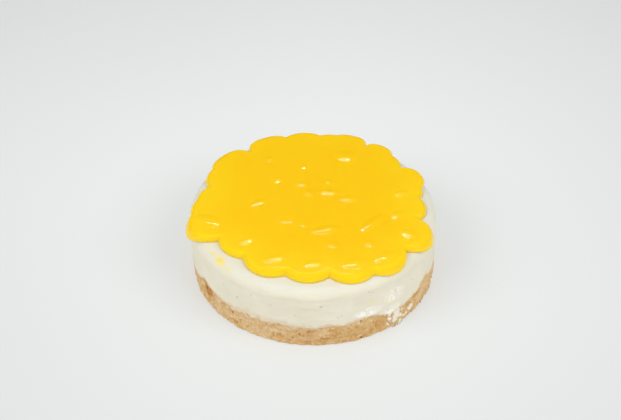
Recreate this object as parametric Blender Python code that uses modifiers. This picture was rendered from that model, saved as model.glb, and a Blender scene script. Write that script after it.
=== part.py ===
# A small round cheesecake: a pressed biscuit base, a layer of cream cheese filling
# and a yellow fruit gel, spooned on as drops that have run together.
# Metres, +Z up, origin in the middle of the underside. The side first seen faces -Y.

import math

import bpy
from mathutils import Vector, noise

MM = 0.001

# Driving sizes
CAKE_RADIUS = 50.0 * MM
FILLING_TOP = 29.0 * MM
TOUCHING_GAP = 0.3 * MM

# The side leans inwards on its way down, most on the left and hardly on the right
FOOT_LEAN = 0.7 * MM
FOOT_LEAN_SWING = 0.6 * MM

# Biscuit base
BASE_RADIUS = 49.7 * MM
BASE_MIDDLE_HEIGHT = 9.8 * MM
BASE_FOOT_ROUNDING = 0.6 * MM
BASE_STEPS = 160
BASE_SIDE_ROWS = 7
CRUMB_SIZE = 2.4 * MM
CRUMB_DEPTH = 0.6 * MM
CRUMB_CREST = 0.6

# The face between base and filling is level inside the third ring, uneven outside it
LEVEL_RING_SHARES = (0.0, 0.45, 0.72, 0.86, 1.0)
LEVEL_INNER_SHARE = LEVEL_RING_SHARES[2]

# How high the pressed crumb reaches up the side: bearing in degrees, height in mm
BASE_EDGE_HEIGHTS = (
    (0, 9.4), (20, 10.4), (45, 9.8), (70, 10.6), (100, 9.7), (130, 10.3), (160, 9.9),
    (185, 9.6), (198, 10.3), (207, 12.6), (213, 11.8), (219, 10.3), (230, 10.5), (240, 11.2),
    (250, 11.7), (262, 10.8), (271, 10.1), (278, 10.8), (286, 10.0), (291, 11.1),
    (296, 11.8), (303, 10.0), (310, 8.2), (320, 9.2), (328, 10.4), (334, 12.6), (341, 9.4),
    (350, 8.8),
)

# Cream cheese filling
FILLING_STEPS = 108
FILLING_SIDE_ROWS = 7
FILLING_TOP_RING_SHARES = (0.0, 0.5, 0.85)
RIM_ROUNDING = 1.6 * MM
RIM_ROUNDING_ROWS = 3
SMOOTHING_RIDGE_PITCH = 5.2 * MM
SMOOTHING_RIDGE_DEPTH = 0.12 * MM
SIDE_UNEVENNESS = 0.3 * MM
SIDE_UNEVENNESS_SIZE = 17.0 * MM

# Torn patch of the side, where filling came away with the ring
PATCH_BEARING = 305.0
PATCH_HALF_WIDTH = 15.0
PATCH_HEIGHT = 14.5 * MM
PATCH_HALF_HEIGHT = 6.0 * MM
PATCH_DEPTH = 0.8 * MM
PATCH_LUMP_SIZE = 2.2 * MM
PATCH_LUMP_SHARE = 0.6

# Fruit gel: a drop is a low dome, placed by its bearing, the distance from the
# middle that its outer edge reaches, and its radius
GEL_STEPS = 132
GEL_TOP_RINGS = 12
GEL_EDGE_RINGS = 4
DROP_HEIGHT = 3.3 * MM
DROP_CURVATURE_RADIUS = 34.0 * MM
DROP_BLEND = 0.25 * MM
OUTLINE_BLEND = 0.5 * MM
EDGE_ROUNDING = 2.0 * MM
EDGE_THICKNESS_SHARE = 0.25
LEAST_THICKNESS = 1.2 * MM
OVERHANG_START = 48.3 * MM
OVERHANG_SLOPE = 0.3

# Outer drops: bearing in degrees, reach in mm, radius in mm
OUTER_DROPS = (
    (358, 45.6, 8.5), (15, 46.3, 9.0), (26, 49.6, 8.5), (44, 47.6, 9.0), (53.5, 49.8, 8.0),
    (71.5, 49.6, 7.0), (81, 48.0, 10.5), (94, 49.5, 11.0), (112, 50.6, 10.5), (138, 50.8, 10.5),
    (151, 47.8, 11.0), (173, 47.0, 10.5), (183, 49.6, 9.5), (194, 52.3, 10.0),
    (216, 43.6, 12.0), (242, 45.2, 11.5), (267, 44.6, 11.0), (293, 47.9, 10.5),
    (312, 50.1, 11.0), (337, 51.2, 10.0),
)

# Inner drops: distance to the right and to the back of the middle, in mm
INNER_DROPS = (
    (-22, 4), (-10, -7), (4, -13), (21, -11), (14, 7), (-3, 8), (-16, 21), (2, 23),
    (20, 23), (28, 4), (-25, -12), (-6, -25), (12, -26),
)

SOFT_BROWN = (0.63, 0.42, 0.22, 1.0)
IVORY = (0.80, 0.76, 0.62, 1.0)
EGG_YELLOW = (0.99, 0.62, 0.02, 1.0)


def clear_scene():
    for obj in list(bpy.data.objects):
        bpy.data.objects.remove(obj, do_unlink=True)


def new_collection(name):
    collection = bpy.data.collections.new(name)
    bpy.context.scene.collection.children.link(collection)
    return collection


def food_material(name, colour, roughness):
    material = bpy.data.materials.new(name)
    material.use_nodes = True
    shader = material.node_tree.nodes["Principled BSDF"]
    shader.inputs["Base Color"].default_value = colour
    shader.inputs["Roughness"].default_value = roughness
    shader.inputs["Metallic"].default_value = 0.0
    material.diffuse_color = colour
    return material


def smooth_step(value):
    value = min(max(value, 0.0), 1.0)
    return value * value * (3.0 - 2.0 * value)


def soft_maximum(values, softness):
    """The largest of the values, with the change from one to the next rounded off."""
    highest = max(values)
    total = sum(math.exp((value - highest) / softness) for value in values)
    return highest + softness * math.log(total)


def turn_between(bearing, centre):
    """The signed angle in degrees from centre to bearing, between -180 and 180."""
    return (bearing - centre + 180.0) % 360.0 - 180.0


def side_lean(angle, height):
    """How far the side stands in from the rim at this angle and height."""
    share = min(max(1.0 - height / FILLING_TOP, 0.0), 1.0)
    return share * (FOOT_LEAN - FOOT_LEAN_SWING * math.cos(angle))


def base_edge_height(bearing):
    """Height of the crumb at the side, smooth through the stated heights round the cake."""
    count = len(BASE_EDGE_HEIGHTS)
    index = max(i for i, (angle, _) in enumerate(BASE_EDGE_HEIGHTS) if angle <= bearing % 360.0)
    points = []
    for offset in (-1, 0, 1, 2):
        turns, wrapped = divmod(index + offset, count)
        angle, height = BASE_EDGE_HEIGHTS[wrapped]
        points.append((angle + 360.0 * turns, height))
    (_, before), (start, low), (end, high), (_, after) = points
    t = (bearing % 360.0 - start) / (end - start)
    curve = (
        2.0 * low
        + (high - before) * t
        + (2.0 * before - 5.0 * low + 4.0 * high - after) * t * t
        + (3.0 * low - before - 3.0 * high + after) * t * t * t
    )
    return 0.5 * curve * MM


def base_top(bearing, radius):
    """Height of the crumb under the filling: level in the middle, uneven towards the side."""
    share = smooth_step((radius / BASE_RADIUS - LEVEL_INNER_SHARE) / (1.0 - LEVEL_INNER_SHARE))
    return BASE_MIDDLE_HEIGHT + (base_edge_height(bearing) - BASE_MIDDLE_HEIGHT) * share


def drop_centres():
    """Centre and radius of every gel drop, in metres."""
    centres = []
    for bearing, reach, radius in OUTER_DROPS:
        distance = (reach - radius) * MM
        angle = math.radians(bearing)
        centres.append((distance * math.cos(angle), distance * math.sin(angle), radius * MM))
    return centres


def gel_outline(angle, outer):
    """Distance from the middle to the gel's scalloped edge at this angle."""
    reaches = []
    for x, y, radius in outer:
        along = x * math.cos(angle) + y * math.sin(angle)
        aside = y * math.cos(angle) - x * math.sin(angle)
        if along > 0.0 and abs(aside) < radius:
            reaches.append(along + math.sqrt(radius * radius - aside * aside))
    return soft_maximum(reaches, OUTLINE_BLEND)


def gel_thickness(x, y, centres):
    """Thickness of the gel away from its edge: low domes that have run together."""
    domes = []
    for cx, cy in centres:
        squared = (x - cx) ** 2 + (y - cy) ** 2
        domes.append(DROP_HEIGHT - squared / (2.0 * DROP_CURVATURE_RADIUS))
    return max(soft_maximum(domes, DROP_BLEND), LEAST_THICKNESS)


def gel_underside(radius):
    """The gel lies on the filling and droops over its rim where a drop reaches past it."""
    past = max(radius - OVERHANG_START, 0.0)
    return FILLING_TOP + TOUCHING_GAP - OVERHANG_SLOPE * past


def turned_mesh(name, profile, steps):
    """A closed mesh made by turning a profile of (radius, height) points round +Z."""
    guide_mesh = bpy.data.meshes.new(name + "_profile")
    points = [(radius, 0.0, height) for radius, height in profile]
    edges = [(i, i + 1) for i in range(len(points) - 1)]
    guide_mesh.from_pydata(points, edges, [])
    guide = bpy.data.objects.new(name + "_profile", guide_mesh)
    bpy.context.scene.collection.objects.link(guide)
    screw = guide.modifiers.new("turn", "SCREW")
    screw.axis = "Z"
    screw.steps = steps
    screw.render_steps = steps
    screw.use_merge_vertices = True
    screw.merge_threshold = 0.01 * MM
    bpy.context.view_layer.update()
    graph = bpy.context.evaluated_depsgraph_get()
    mesh = bpy.data.meshes.new_from_object(guide.evaluated_get(graph))
    bpy.data.objects.remove(guide, do_unlink=True)
    bpy.data.meshes.remove(guide_mesh)
    return mesh


def place_node(name, mesh, material, collection, smooth_angle):
    node = bpy.data.objects.new(name, mesh)
    mesh.name = name
    mesh.materials.clear()
    mesh.materials.append(material)
    mesh.shade_smooth()
    mesh.set_sharp_from_angle(angle=math.radians(smooth_angle))
    collection.objects.link(node)
    return node


def reshape(mesh, moved):
    """Moves each vertex to moved(its radius, its angle in radians, its height)."""
    for vertex in mesh.vertices:
        x, y, z = vertex.co
        vertex.co = moved(math.hypot(x, y), math.atan2(y, x) % math.tau, z)
    mesh.update()


def at(radius, angle, height):
    return Vector((radius * math.cos(angle), radius * math.sin(angle), height))


def build_base(collection):
    """The pressed biscuit base: a disc with a crumbly side and an uneven upper edge."""
    profile = [(share * BASE_RADIUS, 1.0) for share in LEVEL_RING_SHARES]
    profile += [(BASE_RADIUS, 1.0 - row / BASE_SIDE_ROWS) for row in range(1, BASE_SIDE_ROWS)]
    profile += [(BASE_RADIUS - BASE_FOOT_ROUNDING, 0.0), (0.5 * BASE_RADIUS, 0.0), (0.0, 0.0)]
    mesh = turned_mesh("biscuit_base", profile, BASE_STEPS)

    def moved(radius, angle, share):
        height = share * base_top(math.degrees(angle), radius)
        place = at(radius, angle, height)
        outer = radius * (1.0 - side_lean(angle, height) / BASE_RADIUS)
        if radius > BASE_RADIUS - 0.5 * BASE_FOOT_ROUNDING:
            lump = noise.noise(place / CRUMB_SIZE) + 0.5 * noise.noise(place * (2.0 / CRUMB_SIZE))
            outer += CRUMB_DEPTH * min(lump, CRUMB_CREST)
        return at(outer, angle, height)

    reshape(mesh, moved)
    return place_node(
        "biscuit_base", mesh, food_material("biscuit crumb", SOFT_BROWN, 0.9), collection, 35
    )


def patch_share(bearing, height):
    """1 in the middle of the torn patch, falling to 0 outside it."""
    across = turn_between(bearing, PATCH_BEARING) / PATCH_HALF_WIDTH
    up = (height - PATCH_HEIGHT) / PATCH_HALF_HEIGHT
    return 1.0 - smooth_step(math.hypot(across, up))


def build_filling(collection):
    """The cream cheese layer: a disc with a soft rim, faint ridges and one torn patch."""
    rim_points = []
    for row in range(RIM_ROUNDING_ROWS + 1):
        turn = 0.5 * math.pi * row / RIM_ROUNDING_ROWS
        inset = CAKE_RADIUS - RIM_ROUNDING * (1.0 - math.sin(turn))
        rim_points.append((inset, FILLING_TOP - RIM_ROUNDING * (1.0 - math.cos(turn))))
    profile = [(share * CAKE_RADIUS, FILLING_TOP) for share in FILLING_TOP_RING_SHARES]
    profile += rim_points
    side_top = FILLING_TOP - RIM_ROUNDING
    profile += [
        (CAKE_RADIUS, side_top * (1.0 - row / FILLING_SIDE_ROWS)) for row in range(1, FILLING_SIDE_ROWS)
    ]
    profile += [(share * CAKE_RADIUS, 0.0) for share in reversed(LEVEL_RING_SHARES)]
    mesh = turned_mesh("cheese_filling", profile, FILLING_STEPS)

    def moved(radius, angle, level):
        bearing = math.degrees(angle)
        floor = base_top(bearing, min(radius, BASE_RADIUS)) + TOUCHING_GAP
        # The side rows are spread between the base and the rim, wherever the base ends
        height = floor + (side_top - floor) * level / side_top if level < side_top else level
        lean = side_lean(angle, height)
        if radius < CAKE_RADIUS - 0.01 * MM:
            return at(radius * (1.0 - lean / CAKE_RADIUS), angle, height)
        place = at(radius, angle, height)
        radius -= lean
        ridge = SMOOTHING_RIDGE_DEPTH * math.sin(math.tau * height / SMOOTHING_RIDGE_PITCH)
        swell = SIDE_UNEVENNESS * noise.noise(place / SIDE_UNEVENNESS_SIZE)
        torn = patch_share(bearing, height) * PATCH_DEPTH
        torn *= 1.0 - PATCH_LUMP_SHARE + PATCH_LUMP_SHARE * noise.noise(place / PATCH_LUMP_SIZE)
        return at(radius + ridge + swell - max(torn, 0.0), angle, height)

    reshape(mesh, moved)
    return place_node(
        "cheese_filling", mesh, food_material("cream cheese", IVORY, 0.6), collection, 40
    )


def build_gel(collection):
    """The fruit gel: run-together drops with a scalloped, rounded edge.

    Up to 1 on the profile the rings spread over the top, and from 1 to 2 they turn down
    round the edge.
    """
    outer = drop_centres()
    centres = [(x, y) for x, y, _ in outer]
    centres += [(x * MM, y * MM) for x, y in INNER_DROPS]
    top_rings = [ring / GEL_TOP_RINGS for ring in range(GEL_TOP_RINGS + 1)]
    edge_rings = [1.0 + ring / GEL_EDGE_RINGS for ring in range(1, GEL_EDGE_RINGS + 1)]
    under_rings = (2.0, 1.0, 0.6, 0.0)
    profile = [(ring, 1.0) for ring in top_rings + edge_rings]
    profile += [(ring, 0.0) for ring in under_rings]
    mesh = turned_mesh("fruit_gel", profile, GEL_STEPS)

    def moved(ring, angle, level):
        edge = gel_outline(angle, outer)
        turn = 0.5 * math.pi * min(max(ring - 1.0, 0.0), 1.0)
        radius = min(ring, 1.0) * (edge - EDGE_ROUNDING) + EDGE_ROUNDING * math.sin(turn)
        if level < 0.5:
            radius = radius if ring > 1.5 else min(radius, OVERHANG_START)
            return at(radius, angle, gel_underside(radius))
        x = radius * math.cos(angle)
        y = radius * math.sin(angle)
        fullness = EDGE_THICKNESS_SHARE + (1.0 - EDGE_THICKNESS_SHARE) * math.cos(turn)
        height = gel_underside(radius) + fullness * gel_thickness(x, y, centres)
        return at(radius, angle, height)

    reshape(mesh, moved)
    return place_node("fruit_gel", mesh, food_material("fruit gel", EGG_YELLOW, 0.15), collection, 50)


def main():
    clear_scene()
    collection = new_collection("cheesecake")
    build_base(collection)
    build_filling(collection)
    build_gel(collection)


main()
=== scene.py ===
"""A small round cheesecake dressed for a studio picture.

Laid out as an add-on and run as a script. It loads the solids of the cake as a fixed
frame, replaces them with finely shaped food, and sets a pale floor, soft light and the
camera. Metres throughout, +Z up, and the cake's front faces -Y.
"""

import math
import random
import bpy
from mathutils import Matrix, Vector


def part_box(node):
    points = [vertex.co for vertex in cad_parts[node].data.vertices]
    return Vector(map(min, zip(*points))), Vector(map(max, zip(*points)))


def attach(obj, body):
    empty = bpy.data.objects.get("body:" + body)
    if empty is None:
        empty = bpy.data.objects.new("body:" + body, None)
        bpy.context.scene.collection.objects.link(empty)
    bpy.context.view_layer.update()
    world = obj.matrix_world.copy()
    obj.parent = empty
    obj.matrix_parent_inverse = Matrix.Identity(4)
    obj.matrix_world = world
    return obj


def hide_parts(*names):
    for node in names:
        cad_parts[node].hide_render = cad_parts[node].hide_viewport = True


bl_info = {
    "name": "Small Round Cheesecake",
    "version": (1, 0, 0),
    "blender": (4, 5, 0),
    "location": "3D View > Sidebar > Cheesecake",
    "description": "Biscuit base, cream cheese and a scalloped fruit gel, with a studio round them",
    "category": "Add Mesh",
}

import bmesh
import bpy
import numpy as np
from bpy.props import FloatProperty, FloatVectorProperty, IntProperty, PointerProperty
from mathutils import Matrix, Vector, noise

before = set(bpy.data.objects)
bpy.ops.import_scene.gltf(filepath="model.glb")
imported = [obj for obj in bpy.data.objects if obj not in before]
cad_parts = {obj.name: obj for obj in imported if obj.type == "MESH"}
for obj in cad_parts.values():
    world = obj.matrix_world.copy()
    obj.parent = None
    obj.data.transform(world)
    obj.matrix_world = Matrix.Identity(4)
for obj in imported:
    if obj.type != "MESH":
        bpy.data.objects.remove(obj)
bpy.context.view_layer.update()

MM = 0.001

# Height of the filling's rim, from the frame
RIM_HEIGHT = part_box("cheese_filling")[1][2]

# Radius of the ring that the cake was set in
CAKE_RADIUS = 50.0 * MM

# The side leans inwards on its way down, most on the left and hardly on the right
FOOT_LEAN = 0.7 * MM
FOOT_LEAN_SWING = 0.6 * MM

# How high the pressed crumb reaches up the side: bearing in degrees, height in mm
CRUMB_LINE = (
    (0, 9.4), (20, 10.4), (45, 9.8), (70, 10.6), (100, 9.7), (130, 10.3), (160, 9.9),
    (185, 9.2), (198, 8.8), (204, 10.4), (208, 12.4), (213, 11.4), (219, 10.3), (230, 10.5),
    (240, 11.2), (250, 11.7), (262, 10.8), (271, 10.1), (278, 10.8), (286, 10.0), (291, 11.1),
    (296, 11.8), (303, 10.0), (310, 8.2), (320, 9.2), (328, 10.4), (334, 12.6), (341, 9.4),
    (350, 8.8),
)

# Where the crumb gives way to cream most gradually: the middle and the half width of that
# stretch in degrees, and the share of blending elsewhere
BLEND_BEARING, BLEND_HALF_WIDTH, BLEND_LEAST = 250.0, 24.0, 0.3

# Drops along the gel's edge: bearing in degrees, reach in mm, radius in mm
EDGE_DROPS = (
    (359.5, 46.0, 9.0), (16, 46.5, 7.5), (25, 50.0, 7.5), (44, 47.6, 9.0), (53, 51.0, 6.5),
    (70, 52.2, 7.0), (79, 49.2, 10.0), (95, 50.2, 10.0), (114, 51.8, 9.5), (139, 52.2, 10.0),
    (151, 48.6, 11.0), (173, 47.4, 10.5), (183, 49.6, 9.5), (194, 52.3, 10.0),
    (216, 43.6, 12.0), (242, 45.2, 11.5), (267, 44.6, 11.0), (293, 47.9, 10.5),
    (312, 50.1, 11.0), (336.5, 51.6, 9.5),
)

# Darker and paler patches in the side of the crumb: bearing in degrees, height in mm, half
# width in degrees, half height in mm, and how strongly each one shows
# In the toasted table the thin ones, about half a mm high, are dark lines painted along cracks: painted
# shade
TOASTED_PATCHES_AND_CRACK_SHADE = (
    (30, 4.0, 9.0, 2.0, 0.35), (75, 7.0, 6.0, 2.5, 0.42), (120, 3.0, 10.0, 1.6, 0.35),
    (165, 6.0, 7.0, 2.4, 0.42), (206, 11.2, 2.4, 1.4, 0.8), (211, 8.6, 3.2, 3.2, 1.1),
    (214, 8.5, 2.2, 1.6, 1.0), (214, 9.8, 2.0, 1.2, 0.9), (216, 5.0, 4.0, 2.0, 0.35),
    (223, 8.7, 1.6, 0.7, 0.7), (228, 6.5, 3.0, 1.6, 0.28), (229, 7.1, 2.0, 1.0, 1.2),
    (231, 2.8, 1.8, 0.9, 1.1), (239, 8.2, 7.0, 0.45, 0.49), (251, 7.5, 8.0, 0.45, 0.56),
    (253, 10.0, 2.2, 0.45, 1.0), (254, 4.4, 2.2, 0.8, 0.8), (259, 10.3, 3.0, 0.4, 0.8),
    (262, 6.0, 16.0, 4.0, 0.24), (262, 7.0, 6.0, 0.5, 0.63), (264, 5.7, 3.4, 0.45, 0.8),
    (264, 9.4, 2.6, 0.45, 0.8), (267, 2.2, 1.8, 0.6, 1.1), (268, 5.6, 4.0, 0.5, 0.42),
    (269, 7.9, 2.4, 0.9, 1.2), (270, 2.6, 14.0, 2.4, 0.42), (275, 4.0, 2.2, 0.9, 1.2),
    (284, 5.0, 15.0, 4.0, 0.32), (290, 1.2, 9.0, 0.9, 0.35), (300, 5.0, 8.0, 3.5, 0.35),
    (303, 8.0, 4.0, 0.8, 0.28), (308, 3.6, 3.0, 1.6, 0.63), (327, 8.4, 3.0, 1.8, 0.42),
)
FLOURY_PATCHES = (
    (55, 5.0, 8.0, 2.5, 0.5), (98, 4.0, 8.0, 2.5, 0.6), (145, 6.0, 8.0, 2.0, 0.5),
    (188, 5.0, 8.0, 2.6, 0.5), (219, 8.0, 4.0, 3.0, 0.6), (221, 4.2, 8.0, 2.6, 0.6),
    (232, 8.0, 9.0, 3.0, 0.6), (240, 4.0, 10.0, 3.0, 0.55), (246, 8.4, 7.0, 1.6, 0.6),
    (250, 6.2, 4.0, 1.6, 1.0), (256, 6.4, 5.0, 1.8, 0.7), (257, 7.8, 4.5, 1.1, 1.0),
    (266, 3.8, 5.0, 1.3, 0.6), (273, 6.8, 5.0, 1.4, 0.6), (334, 7.0, 8.0, 4.0, 0.6),
    (350, 4.0, 7.0, 3.0, 0.5),
)

# Toasted bits that stand in the side of the crumb: bearing in degrees, height in mm, radius
# in mm, and how toasted each one is
TOASTED_BITS = (
    (285.3, 8.0, 0.55, 1.0), (229.8, 7.4, 0.6, 0.95), (268.3, 8.0, 0.6, 0.9),
    (274.7, 4.7, 0.7, 1.0), (267.9, 3.2, 0.5, 1.0), (308.9, 3.7, 0.9, 0.75),
    (210.3, 9.0, 0.9, 0.8), (211.5, 6.5, 0.8, 0.7), (232.1, 3.2, 0.6, 1.0),
    (342.6, 6.0, 0.5, 0.9), (255.5, 10.4, 0.6, 0.6), (329.0, 8.6, 0.7, 0.9),
    (293.0, 1.2, 0.6, 1.0), (263.8, 6.2, 0.6, 0.8),
)

# Crowns of the drops, in mm from the middle: right, back, the radius of curvature along
# the drop and across it, the turn of its long direction in degrees, and its rise over the gel
DROP_CROWNS = (
    (-43.1, -10.7, 55, 23, -10, 0.38), (-16.2, -33.6, 62, 16, 17, 0.16),
    (-0.4, -36.6, 50, 19, 19, 0.12), (16.4, -36.5, 64, 20, 13, 0.24), (29.1, -32.5, 53, 19, 23, 0.32),
    (-26.9, -22.7, 45, 12, 30, 0.14), (5.2, -15.7, 76, 13, 13, 0.25), (24.0, -11.7, 76, 10, 45, 0.36),
    (38.4, -18.6, 48, 14, -36, 0.19), (-10.9, -10.4, 37, 9, 0, 0.12), (-22.7, 1.1, 51, 11, 25, 0.13),
    (14.7, 3.7, 52, 14, 0, 0.20), (14.0, 31.7, 52, 26, -2, 0.27), (36.2, 7.1, 25, 9, 11, 0.21),
    (33.9, -6.7, 25, 16, 42, 0.20),
)

# Beads in the gel: right, back, width, length from front to back and height, in mm
GEL_BEADS = (
    (-17.9, 30.0, 1.2, 1.2, 0.2), (-3.8, 24.8, 1.4, 1.4, 0.17), (-14.7, 16.1, 1.6, 1.6, 0.2),
    (-4.7, 13.2, 1.8, 1.1, 0.14), (6.1, 15.0, 1.0, 1.0, 0.16), (-1.5, 7.7, 1.6, 1.6, 0.22),
    (6.1, 8.2, 3.4, 1.5, 0.2), (7.7, -24.7, 1.5, 1.5, 0.2), (22.4, -24.0, 1.5, 1.5, 0.2),
    (-3.9, -12.6, 1.0, 1.4, 0.1),
)

# Pores in the side of the filling: bearing in degrees, height in mm, radius in mm
SIDE_PORES = (
    (233.2, 17.6, 0.5), (250.4, 19.8, 0.35), (273.7, 21.3, 0.45), (262, 16.5, 0.3), (283, 15.5, 0.3),
    (241, 22, 0.3), (296, 24.5, 0.35), (225, 20, 0.35), (322, 19, 0.35), (335, 22, 0.3),
)

# Spots where the filling tore as the ring came off: bearing in degrees, height in mm, half
# width in degrees, half height in mm
TORN_SPOTS = ((310.5, 17.5, 6.0, 3.6), (296.0, 14.0, 7.0, 2.6), (309.0, 10.0, 5.0, 2.6))

# Spots of gel by the rim: bearing in degrees, way up the side and on over the rim in mm,
# half width in degrees, half height in mm, and how strongly each one shows
GEL_TRACES = (
    (208.5, 31.4, 1.6, 1.6, 0.25), (214.3, 31.4, 1.8, 1.6, 0.6), (219.8, 31.0, 2.4, 2.0, 1.25),
    (222.5, 30.0, 2.4, 2.0, 0.5), (227.0, 30.0, 2.0, 1.5, 0.6), (240.0, 31.4, 1.0, 0.7, 0.25),
    (272.0, 28.8, 1.0, 0.7, 0.3), (297.1, 18.8, 1.6, 0.5, 0.6), (306.6, 15.5, 1.0, 0.9, 0.7),
    (310.1, 16.6, 1.6, 0.5, 0.6), (312.8, 19.0, 1.2, 0.6, 0.7), (300.6, 13.2, 0.9, 0.6, 0.45),
    (303.5, 18.0, 0.9, 0.5, 0.5),
)


def linear(hex_colour):
    """An sRGB hex colour as linear red, green, blue and alpha."""
    channels = [int(hex_colour[i : i + 2], 16) / 255.0 for i in (0, 2, 4)]
    return tuple(
        c / 12.92 if c <= 0.04045 else ((c + 0.055) / 1.055) ** 2.4 for c in channels
    ) + (1.0,)


def colour_property(name, description, hex_colour):
    return FloatVectorProperty(
        name=name,
        description=description,
        subtype="COLOR",
        size=4,
        min=0.0,
        max=1.0,
        default=linear(hex_colour),
    )


def length_property(name, description, millimetres):
    return FloatProperty(
        name=name, description=description, default=millimetres * MM, unit="LENGTH", precision=5
    )


class BiscuitBaseSettings(bpy.types.PropertyGroup):
    radius: length_property("Radius", "Radius of the pressed base at its top", 49.8)
    crumb_size: length_property("Crumb size", "Width of the larger crumbs", 2.4)
    crumb_depth: length_property("Crumb depth", "How far the larger crumbs stand out", 0.45)
    crumb_colour: colour_property("Crumb", "Main colour of the baked crumb", "D7B176")
    dark_colour: colour_property("Toasted crumb", "Colour of the darker crumbs", "BF9055")
    pale_colour: colour_property("Pale crumb", "Colour of the floury crumbs", "E2C797")


class CreamCheeseSettings(bpy.types.PropertyGroup):
    rim_rounding: length_property("Rim rounding", "Radius of the soft upper edge", 4.2)
    ridge_depth: length_property("Ridge depth", "Depth of the marks of smoothing", 0.07)
    cream_colour: colour_property("Cream", "Main colour of the filling", "E6E0CC")
    torn_colour: colour_property("Torn cream", "Colour of the rough flakes", "FAF8EF")
    trace_colour: colour_property("Gel trace", "Colour of the filling under a film of gel", "EEDB74")


class FruitGelSettings(bpy.types.PropertyGroup):
    edge_rounding: length_property("Edge rounding", "Width of the rounded edge", 2.6)
    seam_softness: length_property("Seam softness", "How softly one drop runs into the next", 0.02)
    middle_depth: length_property("Middle depth", "Depth of the gel in the middle", 2.7)
    deep_colour: colour_property("Deep gel", "Colour where the gel is deep", "FFC719")
    thin_colour: colour_property("Thin gel", "Colour where the gel is thin", "FFCF20")


class StudioSettings(bpy.types.PropertyGroup):
    floor_colour: colour_property("Floor", "Colour of the pale floor", "B0B2B1")
    # The floor's glow is painted light that lifts the cake's shadow
    floor_glow: FloatProperty(name="Floor glow", description="Light through the floor", default=0.34)
    room_light: FloatProperty(name="Room light", description="Brightness all round", default=0.6)
    fill_light: FloatProperty(
        name="Fill lights", description="Power of each, in watts", default=10.8, unit="POWER"
    )
    strip_light: FloatProperty(
        name="Strip light", description="Power in watts", default=0.36, unit="POWER"
    )
    strip_elevation: FloatProperty(
        name="Strip elevation",
        description="Height of the strip light over the horizon",
        default=math.radians(47.5),
        subtype="ANGLE",
    )
    steps: IntProperty(name="Steps", description="Steps round the cake", default=720, min=48)


def smooth_step(value):
    value = np.clip(value, 0.0, 1.0)
    return value * value * (3.0 - 2.0 * value)


def soft_maximum(values, softness):
    """The largest of the rows of values, with the change from one to the next rounded."""
    highest = values.max(axis=0)
    return highest + softness * np.log(np.exp((values - highest) / softness).sum(axis=0))


def turn_between(bearing, centre):
    """The signed angle in degrees from centre to bearing, between -180 and 180."""
    return (bearing - centre + 180.0) % 360.0 - 180.0


def off_spot(bearing, height, spot):
    """How far each place on the side is from the middle of a spot, as a share of its size."""
    middle, up, half_width, half_height = spot
    across = turn_between(bearing, middle) / half_width
    return np.hypot(across, (height - up * MM) / (half_height * MM))


def side_lean(angle, height):
    """How far the side stands in from the rim at this angle and height."""
    share = np.clip(1.0 - height / RIM_HEIGHT, 0.0, 1.0)
    return share * (FOOT_LEAN - FOOT_LEAN_SWING * np.cos(angle))


def crumb_line(bearing):
    """Height of the crumb at the side, smooth through the stated heights round the cake."""
    angles = np.array([angle for angle, _ in CRUMB_LINE], dtype=float)
    heights = np.array([height for _, height in CRUMB_LINE])
    bearing = np.asarray(bearing) % 360.0
    index = np.searchsorted(angles, bearing, side="right") - 1
    count = len(angles)
    start = angles[index]
    end = np.where(index + 1 < count, angles[(index + 1) % count], 360.0)
    t = (bearing - start) / (end - start)
    before, low, high, after = (heights[(index + step) % count] for step in (-1, 0, 1, 2))
    curve = (
        2.0 * low
        + (high - before) * t
        + (2.0 * before - 5.0 * low + 4.0 * high - after) * t**2
        + (3.0 * low - before - 3.0 * high + after) * t**3
    )
    return 0.5 * curve * MM


def blending(bearing):
    """How gradually the crumb gives way to cream at each bearing, from 0 to 1."""
    away = np.abs(turn_between(bearing, BLEND_BEARING)) / BLEND_HALF_WIDTH
    return BLEND_LEAST + (1.0 - BLEND_LEAST) * smooth_step(1.4 - away)


# Large odd numbers that stir a cell's place into its fixed number
STIR_X, STIR_Y, STIR_Z, STIR_CHANNEL = 73856093, 19349663, 83492791, 2654435761
STIR_FIRST, STIR_AGAIN = 1274126177, 1911520717


def lattice_number(cell, channel):
    """A fixed number from 0 to 1 for each cell of a grid, told apart by channel."""
    x, y, z = cell.astype(np.int64).T
    mixed = (x * STIR_X) ^ (y * STIR_Y) ^ (z * STIR_Z) ^ (channel * STIR_CHANNEL)
    mixed = ((mixed ^ (mixed >> 15)) * STIR_FIRST) & 0xFFFFFFFF
    mixed = ((mixed ^ (mixed >> 13)) * STIR_AGAIN) & 0xFFFFFFFF
    return ((mixed ^ (mixed >> 16)) & 0xFFFFFF) / float(0xFFFFFF)


CORNERS = [np.array((i, j, k)) for i in (0, 1) for j in (0, 1) for k in (0, 1)]
NEIGHBOURS = [np.array((i, j, k)) for i in (-1, 0, 1) for j in (-1, 0, 1) for k in (-1, 0, 1)]


def field(points, size, seed=0, octaves=1):
    """Smooth noise about zero at each point, with features of the given size in metres."""
    total = np.zeros(len(points))
    for octave in range(octaves):
        place = points * 2.0**octave / size + 17.31 * seed
        cell = np.floor(place)
        part = place - cell
        fade = part**3 * (part * (part * 6.0 - 15.0) + 10.0)
        for corner in CORNERS:
            away = part - corner
            slope = [2.0 * lattice_number(cell + corner, 3 * seed + axis) - 1.0 for axis in range(3)]
            weight = np.where(corner == 1, fade, 1.0 - fade).prod(axis=1)
            total += weight * (away * np.array(slope).T).sum(axis=1) / 2.0**octave
    return 1.4 * total


def cells(points, size, seed=0):
    """For each point the distances to the nearest and next cell centres, in cell sizes."""
    place = points / size + 5.77 * seed
    cell = np.floor(place)
    distances = []
    for neighbour in NEIGHBOURS:
        other = cell + neighbour
        centre = other + np.array([lattice_number(other, 3 * seed + axis) for axis in range(3)]).T
        distances.append(np.linalg.norm(place - centre, axis=1))
    ordered = np.partition(np.array(distances), 1, axis=0)
    return ordered[0], ordered[1]


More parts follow.
